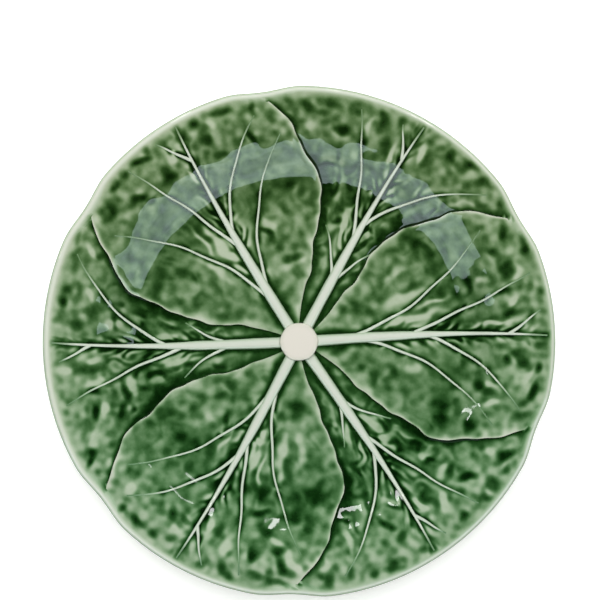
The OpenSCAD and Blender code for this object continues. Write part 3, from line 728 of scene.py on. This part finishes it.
def leaf_blade(k):
    """Mesh of leaf k's blade: a flat sheet and its underside, bent into place row by row.

    Its columns crowd together at the rib and at the margins. A tucked blade runs half a millimetre in
    under its neighbours' margins.
    """
    columns, rows = (220, 204) if is_upper(k) else (250, 180)
    crowding, tuck_in = 0.45, 0.5
    start_r = leaf_start_r - 1.2
    bm = bmesh.new()
    bmesh.ops.create_grid(bm, x_segments=rows, y_segments=columns, size=1)
    sheet = bmesh.ops.extrude_face_region(bm, geom=bm.faces[:], use_keep_orig=True)
    below = [v for v in sheet["geom"] if isinstance(v, bmesh.types.BMVert)]
    bmesh.ops.translate(bm, verts=below, vec=(0, 0, -1))
    bmesh.ops.recalc_face_normals(bm, faces=bm.faces)
    mesh = bpy.data.meshes.new(f"leaf_{k + 1}_blade")
    bm.to_mesh(mesh)
    bm.free()
    mesh.shade_smooth()
    mesh.set_sharp_from_angle(angle=math.radians(40))
    u, v, layer = mesh_points(mesh).T
    share = (u + 1) / 2
    spread = v - crowding * np.sin(2 * np.pi * v) / (2 * np.pi)
    level = start_r + (leaf_end_r - start_r) * share
    rib = rib_angle(k, level)
    left, right = margin_angle(k, level), margin_angle(k - 1, level)
    a = rib + spread * np.where(spread > 0, left - rib, rib - right)
    if not is_upper(k):
        a = a + np.sign(spread) * swell_between(0.85, 1, np.abs(spread)) * np.degrees(tuck_in / level)
    end = outline(a) - leaf_inset
    r = np.where(level < rim_start_r, level,
                 rim_start_r + (end - rim_start_r) * (level - rim_start_r) / (leaf_end_r - rim_start_r))
    x, y = on_plan(r, a).T
    top = clay_height(r) + blade_thickness(k, x, y)
    z = np.where(layer > -0.5, top, clay_height(r) - blade_sunk)
    set_points(mesh, x, y, z)
    m = read_plan(margin_gap, x, y)
    give_depth(mesh, glaze_and_shade_at(x, y, np.maximum(m, 0) if is_upper(k) else np.minimum(m, -0.01)))
    return mesh


for k in range(6):
    blade = add_piece(f"leaf_{k + 1}_blade_glazed", leaf_blade(k), leaf_green)
    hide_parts(f"leaf_{k + 1}_blade")
    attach(blade, "root")

# The veins
# Each leaf's midrib and side veins, raised ridges of the moulded clay. The glaze is wiped off them, so
# they are cream, with a little green left on their flanks, and at their tips they sink into the leaf.
rib_depth, vein_depth, flank_depth, tip_depth = 0.08, 0.09, 0.5, 0.9
vein_sunk, vein_root_depth = 0.06, 0.35
vein_cream = glazed("wiped vein glaze", (0.69, 0.71, 0.645), 0.25)


def leaf_veins(k):
    """Mesh of leaf k's midrib and side veins: strips with undersides, arched and laid on their paths."""
    paths = [rib_path(k)] + list(vein_paths(k))
    bm = bmesh.new()
    mark = bm.verts.layers.int.new("vein")
    for number, (path, half_w, height) in enumerate(paths):
        along_it, across_it = (2 * len(path), 14) if number == 0 else (len(path), 10)
        made = bmesh.ops.create_grid(bm, x_segments=along_it, y_segments=across_it, size=1)
        for v in made["verts"]:
            v[mark] = number
        faces = list({f for v in made["verts"] for f in v.link_faces})
        bottom = bmesh.ops.extrude_face_region(bm, geom=faces, use_keep_orig=True)
        below = [v for v in bottom["geom"] if isinstance(v, bmesh.types.BMVert)]
        bmesh.ops.translate(bm, verts=below, vec=(0, 0, -1))
    bmesh.ops.recalc_face_normals(bm, faces=bm.faces)
    mesh = bpy.data.meshes.new(f"leaf_{k + 1}_veins")
    bm.to_mesh(mesh)
    bm.free()
    mesh.shade_smooth()
    mesh.set_sharp_from_angle(angle=math.radians(40))
    u, v, layer = mesh_points(mesh).T
    number = np.empty(len(u), np.int32)
    mesh.attributes["vein"].data.foreach_get("value", number)
    mesh.attributes.remove(mesh.attributes["vein"])
    x, y, rise, depth = (np.zeros_like(u) for _ in range(4))
    for i, (path, half_w, height) in enumerate(paths):
        here = number == i
        t = (u[here] + 1) / 2
        across = np.sin(v[here] * np.pi / 2)
        marks = np.linspace(0, 1, len(path))
        heading = np.gradient(path, axis=0)
        heading /= np.linalg.norm(heading, axis=1)[:, None]
        px, py, hx, hy = (np.interp(t, marks, c) for c in (*path.T, *heading.T))
        w = np.interp(t, marks, half_w)
        x[here] = px - hy * w * across
        y[here] = py + hx * w * across
        rise[here] = np.interp(t, marks, height) * (1 - np.abs(across)**2.4)**(1 / 2.2)
        flank = flank_depth * np.abs(across)**3
        if i == 0:
            depth[here] = rib_depth + flank + tip_depth * swell_between(0.88, 1, t)
        else:
            depth[here] = vein_depth + flank + 0.1 * t + tip_depth * swell_between(0.7, 1, t)
    r = np.hypot(x, y)
    ground = clay_height(r) + blade_thickness(k, x, y)
    z = np.where(layer > -0.5, ground + rise - vein_sunk, ground - vein_root_depth)
    set_points(mesh, x, y, z)
    give_depth(mesh, depth)
    return mesh


for k in range(6):
    veins = add_piece(f"leaf_{k + 1}_veins_glazed", leaf_veins(k), vein_cream)
    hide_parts(f"leaf_{k + 1}_veins")
    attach(veins, "root")

# The cut stalk
# The round boss in the middle, where the cabbage's stalk is cut through: a flat, cream button with a
# crisp rounded edge that the six midribs run into.
stalk_r = 7.5
stalk_h = 4.2
stalk_edge_r = 0.7
face_rings, face_ring_w = 4, 1.3
face_crown = 0.06
lobe_share, waist_share = 0.035, 0.02
bm = bmesh.new()
bmesh.ops.create_circle(bm, cap_ends=True, radius=stalk_r, segments=144)
top = bmesh.ops.extrude_face_region(bm, geom=bm.faces[:], use_keep_orig=True)
lifted = [v for v in top["geom"] if isinstance(v, bmesh.types.BMVert)]
bmesh.ops.translate(bm, verts=lifted, vec=(0, 0, stalk_h))
rims = [e for e in bm.edges if all(v.co.z > stalk_h - 0.01 for v in e.verts) and len(e.link_faces) == 2]
bmesh.ops.bevel(bm, geom=rims, offset=stalk_edge_r, offset_type="OFFSET", affect="EDGES", segments=6,
                profile=0.5, material=-1)
caps = [f for f in bm.faces if len(f.verts) > 8 and f.calc_center_median().z > stalk_h / 2]
for _ in range(face_rings):
    bmesh.ops.inset_region(bm, faces=caps, thickness=face_ring_w, depth=0)
bmesh.ops.recalc_face_normals(bm, faces=bm.faces)
stalk_mesh = bpy.data.meshes.new("cut_stalk")
bm.to_mesh(stalk_mesh)
bm.free()
x, y, z = mesh_points(stalk_mesh).T
r, a = np.hypot(x, y), np.degrees(np.arctan2(y, x))
bulge = sum(hump(turn_between(a, rib_angle(k, 8.0)), 0, 14) for k in range(6))
grow = 1 + (lobe_share * bulge - waist_share) * r / stalk_r
z = floor_z + z - face_crown * (r / stalk_r)**2 * (z > stalk_h - 0.5)
set_points(stalk_mesh, x * grow, y * grow, z)
stalk_mesh.shade_smooth()
stalk_mesh.set_sharp_from_angle(angle=math.radians(50))
give_depth(stalk_mesh, 0.02 + 0.1 * swell_between(6.2, 7.5, r))
stalk_cream = glazed("stalk cream glaze", (0.727, 0.692, 0.622), 0.15)
stalk = add_piece("cut_stalk_glazed", stalk_mesh, stalk_cream)
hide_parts("cut_stalk")
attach(stalk, "root")

# The studio
# A white paper floor that glows a little, low light all round and a soft lamp overhead, sized in metres.
# The glaze mirrors a long curved window beyond the near edge as a grey-blue band on the far wall, and
# five narrow slits round the far side as small glints.
floor_half_w = 3
floor_mesh = bpy.data.meshes.new("paper_floor")
bm = bmesh.new()
bmesh.ops.create_grid(bm, x_segments=2, y_segments=2, size=floor_half_w)
bm.to_mesh(floor_mesh)
bm.free()
paper = bpy.data.materials.new("white paper")
paper.use_nodes = True
paper_shader = paper.node_tree.nodes["Principled BSDF"]
paper_shader.inputs["Base Color"].default_value = (0.94, 0.94, 0.94, 1)
paper_shader.inputs["Roughness"].default_value = 0.9
paper_shader.inputs["Specular IOR Level"].default_value = 0.1
paper_shader.inputs["Emission Color"].default_value = (1, 1, 1, 1)
paper_shader.inputs["Emission Strength"].default_value = 0.34
floor = add_piece("paper_floor", floor_mesh, paper)

world = bpy.data.worlds.new("studio")
bpy.context.scene.world = world
world.use_nodes = True
n, wire = world.node_tree.nodes, world.node_tree.links.new
place = n.new("ShaderNodeTexCoord")
parts = n.new("ShaderNodeSeparateXYZ")
wire(place.outputs["Generated"], parts.inputs[0])
tone = n.new("ShaderNodeValToRGB")
tone.color_ramp.elements[0].position = 0.08
tone.color_ramp.elements[0].color = (1, 1, 1, 1)
tone.color_ramp.elements[1].position = 0.22
tone.color_ramp.elements[1].color = (0.02, 0.02, 0.02, 1)
wire(parts.outputs["Z"], tone.inputs["Fac"])
wire(tone.outputs["Color"], n["Background"].inputs["Color"])
n["Background"].inputs["Strength"].default_value = 0.9

lamp_back, lamp_up = 0.5, 1.6
lamp = bpy.data.lights.new("overhead", "AREA")
lamp.shape = "RECTANGLE"
lamp.size, lamp.size_y = 2.0, 2.0
lamp.energy = 46
overhead = bpy.data.objects.new("overhead", lamp)
bpy.context.scene.collection.objects.link(overhead)
overhead.location = (0, lamp_back, lamp_up)
overhead.rotation_euler = (-math.atan(lamp_back / lamp_up), 0, 0)
overhead.visible_glossy = False


def window(name, headings, tilts, strength, tint):
    """A piece of a bright dome, seen only in the glaze: headings and tilts are in degrees.

    Headings turn from the right towards the far side, and tilts are measured from straight up.
    """
    dome_r = 1400
    bm = bmesh.new()
    bmesh.ops.create_grid(bm, x_segments=36, y_segments=4, size=1)
    mesh = bpy.data.meshes.new(name)
    bm.to_mesh(mesh)
    bm.free()
    u, v, _ = mesh_points(mesh).T
    heading = np.radians(headings[0] + (headings[1] - headings[0]) * (u + 1) / 2)
    tilt = np.radians(tilts[0] + (tilts[1] - tilts[0]) * (v + 1) / 2)
    out = dome_r * np.sin(tilt)
    set_points(mesh, out * np.cos(heading), out * np.sin(heading), dome_r * np.cos(tilt))
    light = bpy.data.materials.new(name)
    light.use_nodes = True
    shader = light.node_tree.nodes["Principled BSDF"]
    shader.inputs["Base Color"].default_value = (0, 0, 0, 1)
    shader.inputs["Emission Strength"].default_value = strength
    n, wire = light.node_tree.nodes, light.node_tree.links.new
    place, folds, curtain = (n.new("ShaderNode" + kind) for kind in ("TexCoord", "TexNoise", "ValToRGB"))
    folds.inputs["Scale"].default_value = 4.5
    folds.inputs["Detail"].default_value = 3
    curtain.color_ramp.elements[0].position = 0.3
    curtain.color_ramp.elements[0].color = (*(0.55 * c for c in tint), 1)
    curtain.color_ramp.elements[1].position = 0.7
    curtain.color_ramp.elements[1].color = (*tint, 1)
    wire(place.outputs["Object"], folds.inputs["Vector"])
    wire(folds.outputs["Fac"], curtain.inputs["Fac"])
    wire(curtain.outputs["Color"], shader.inputs["Emission Color"])
    pane = add_piece(name, mesh, light)
    pane.visible_diffuse = False
    pane.visible_camera = False
    pane.visible_shadow = False


# Each slit has its two headings, its two tilts and its strength.
slits = [((115.6, 120.5), (50, 68), 18), ((81, 83), (57, 65), 18), ((58, 65), (45, 60), 18),
         ((159.5, 161.2), (56, 66), 18), ((46, 48.5), (46, 50), 8)]
window("long_window", (203, 343), (32, 74), 4.9, (0.72, 0.91, 0.93))
for number, (headings, tilts, strength) in enumerate(slits):
    window(f"slit_{number + 1}", headings, tilts, strength, (1.0, 1.0, 1.0))

# The camera
# It looks straight down from far off. In a picture 600 pixels wide the plate is 513 pixels wide, and its
# middle lies 1 pixel left of the picture's middle and 42 pixels below it.
picture_px = 600
pixel = 0.1 / 256.5
rim_top = 0.018
camera_data = bpy.data.cameras.new("camera")
camera = bpy.data.objects.new("camera", camera_data)
bpy.context.scene.collection.objects.link(camera)
distance = 2.5
camera_data.sensor_fit = "HORIZONTAL"
camera_data.sensor_width = 36
camera_data.lens = camera_data.sensor_width * distance / (picture_px * pixel)
camera.location = (1 * pixel, 42 * pixel, distance + rim_top)
bpy.context.scene.camera = camera
bpy.context.scene.view_settings.view_transform = "Standard"
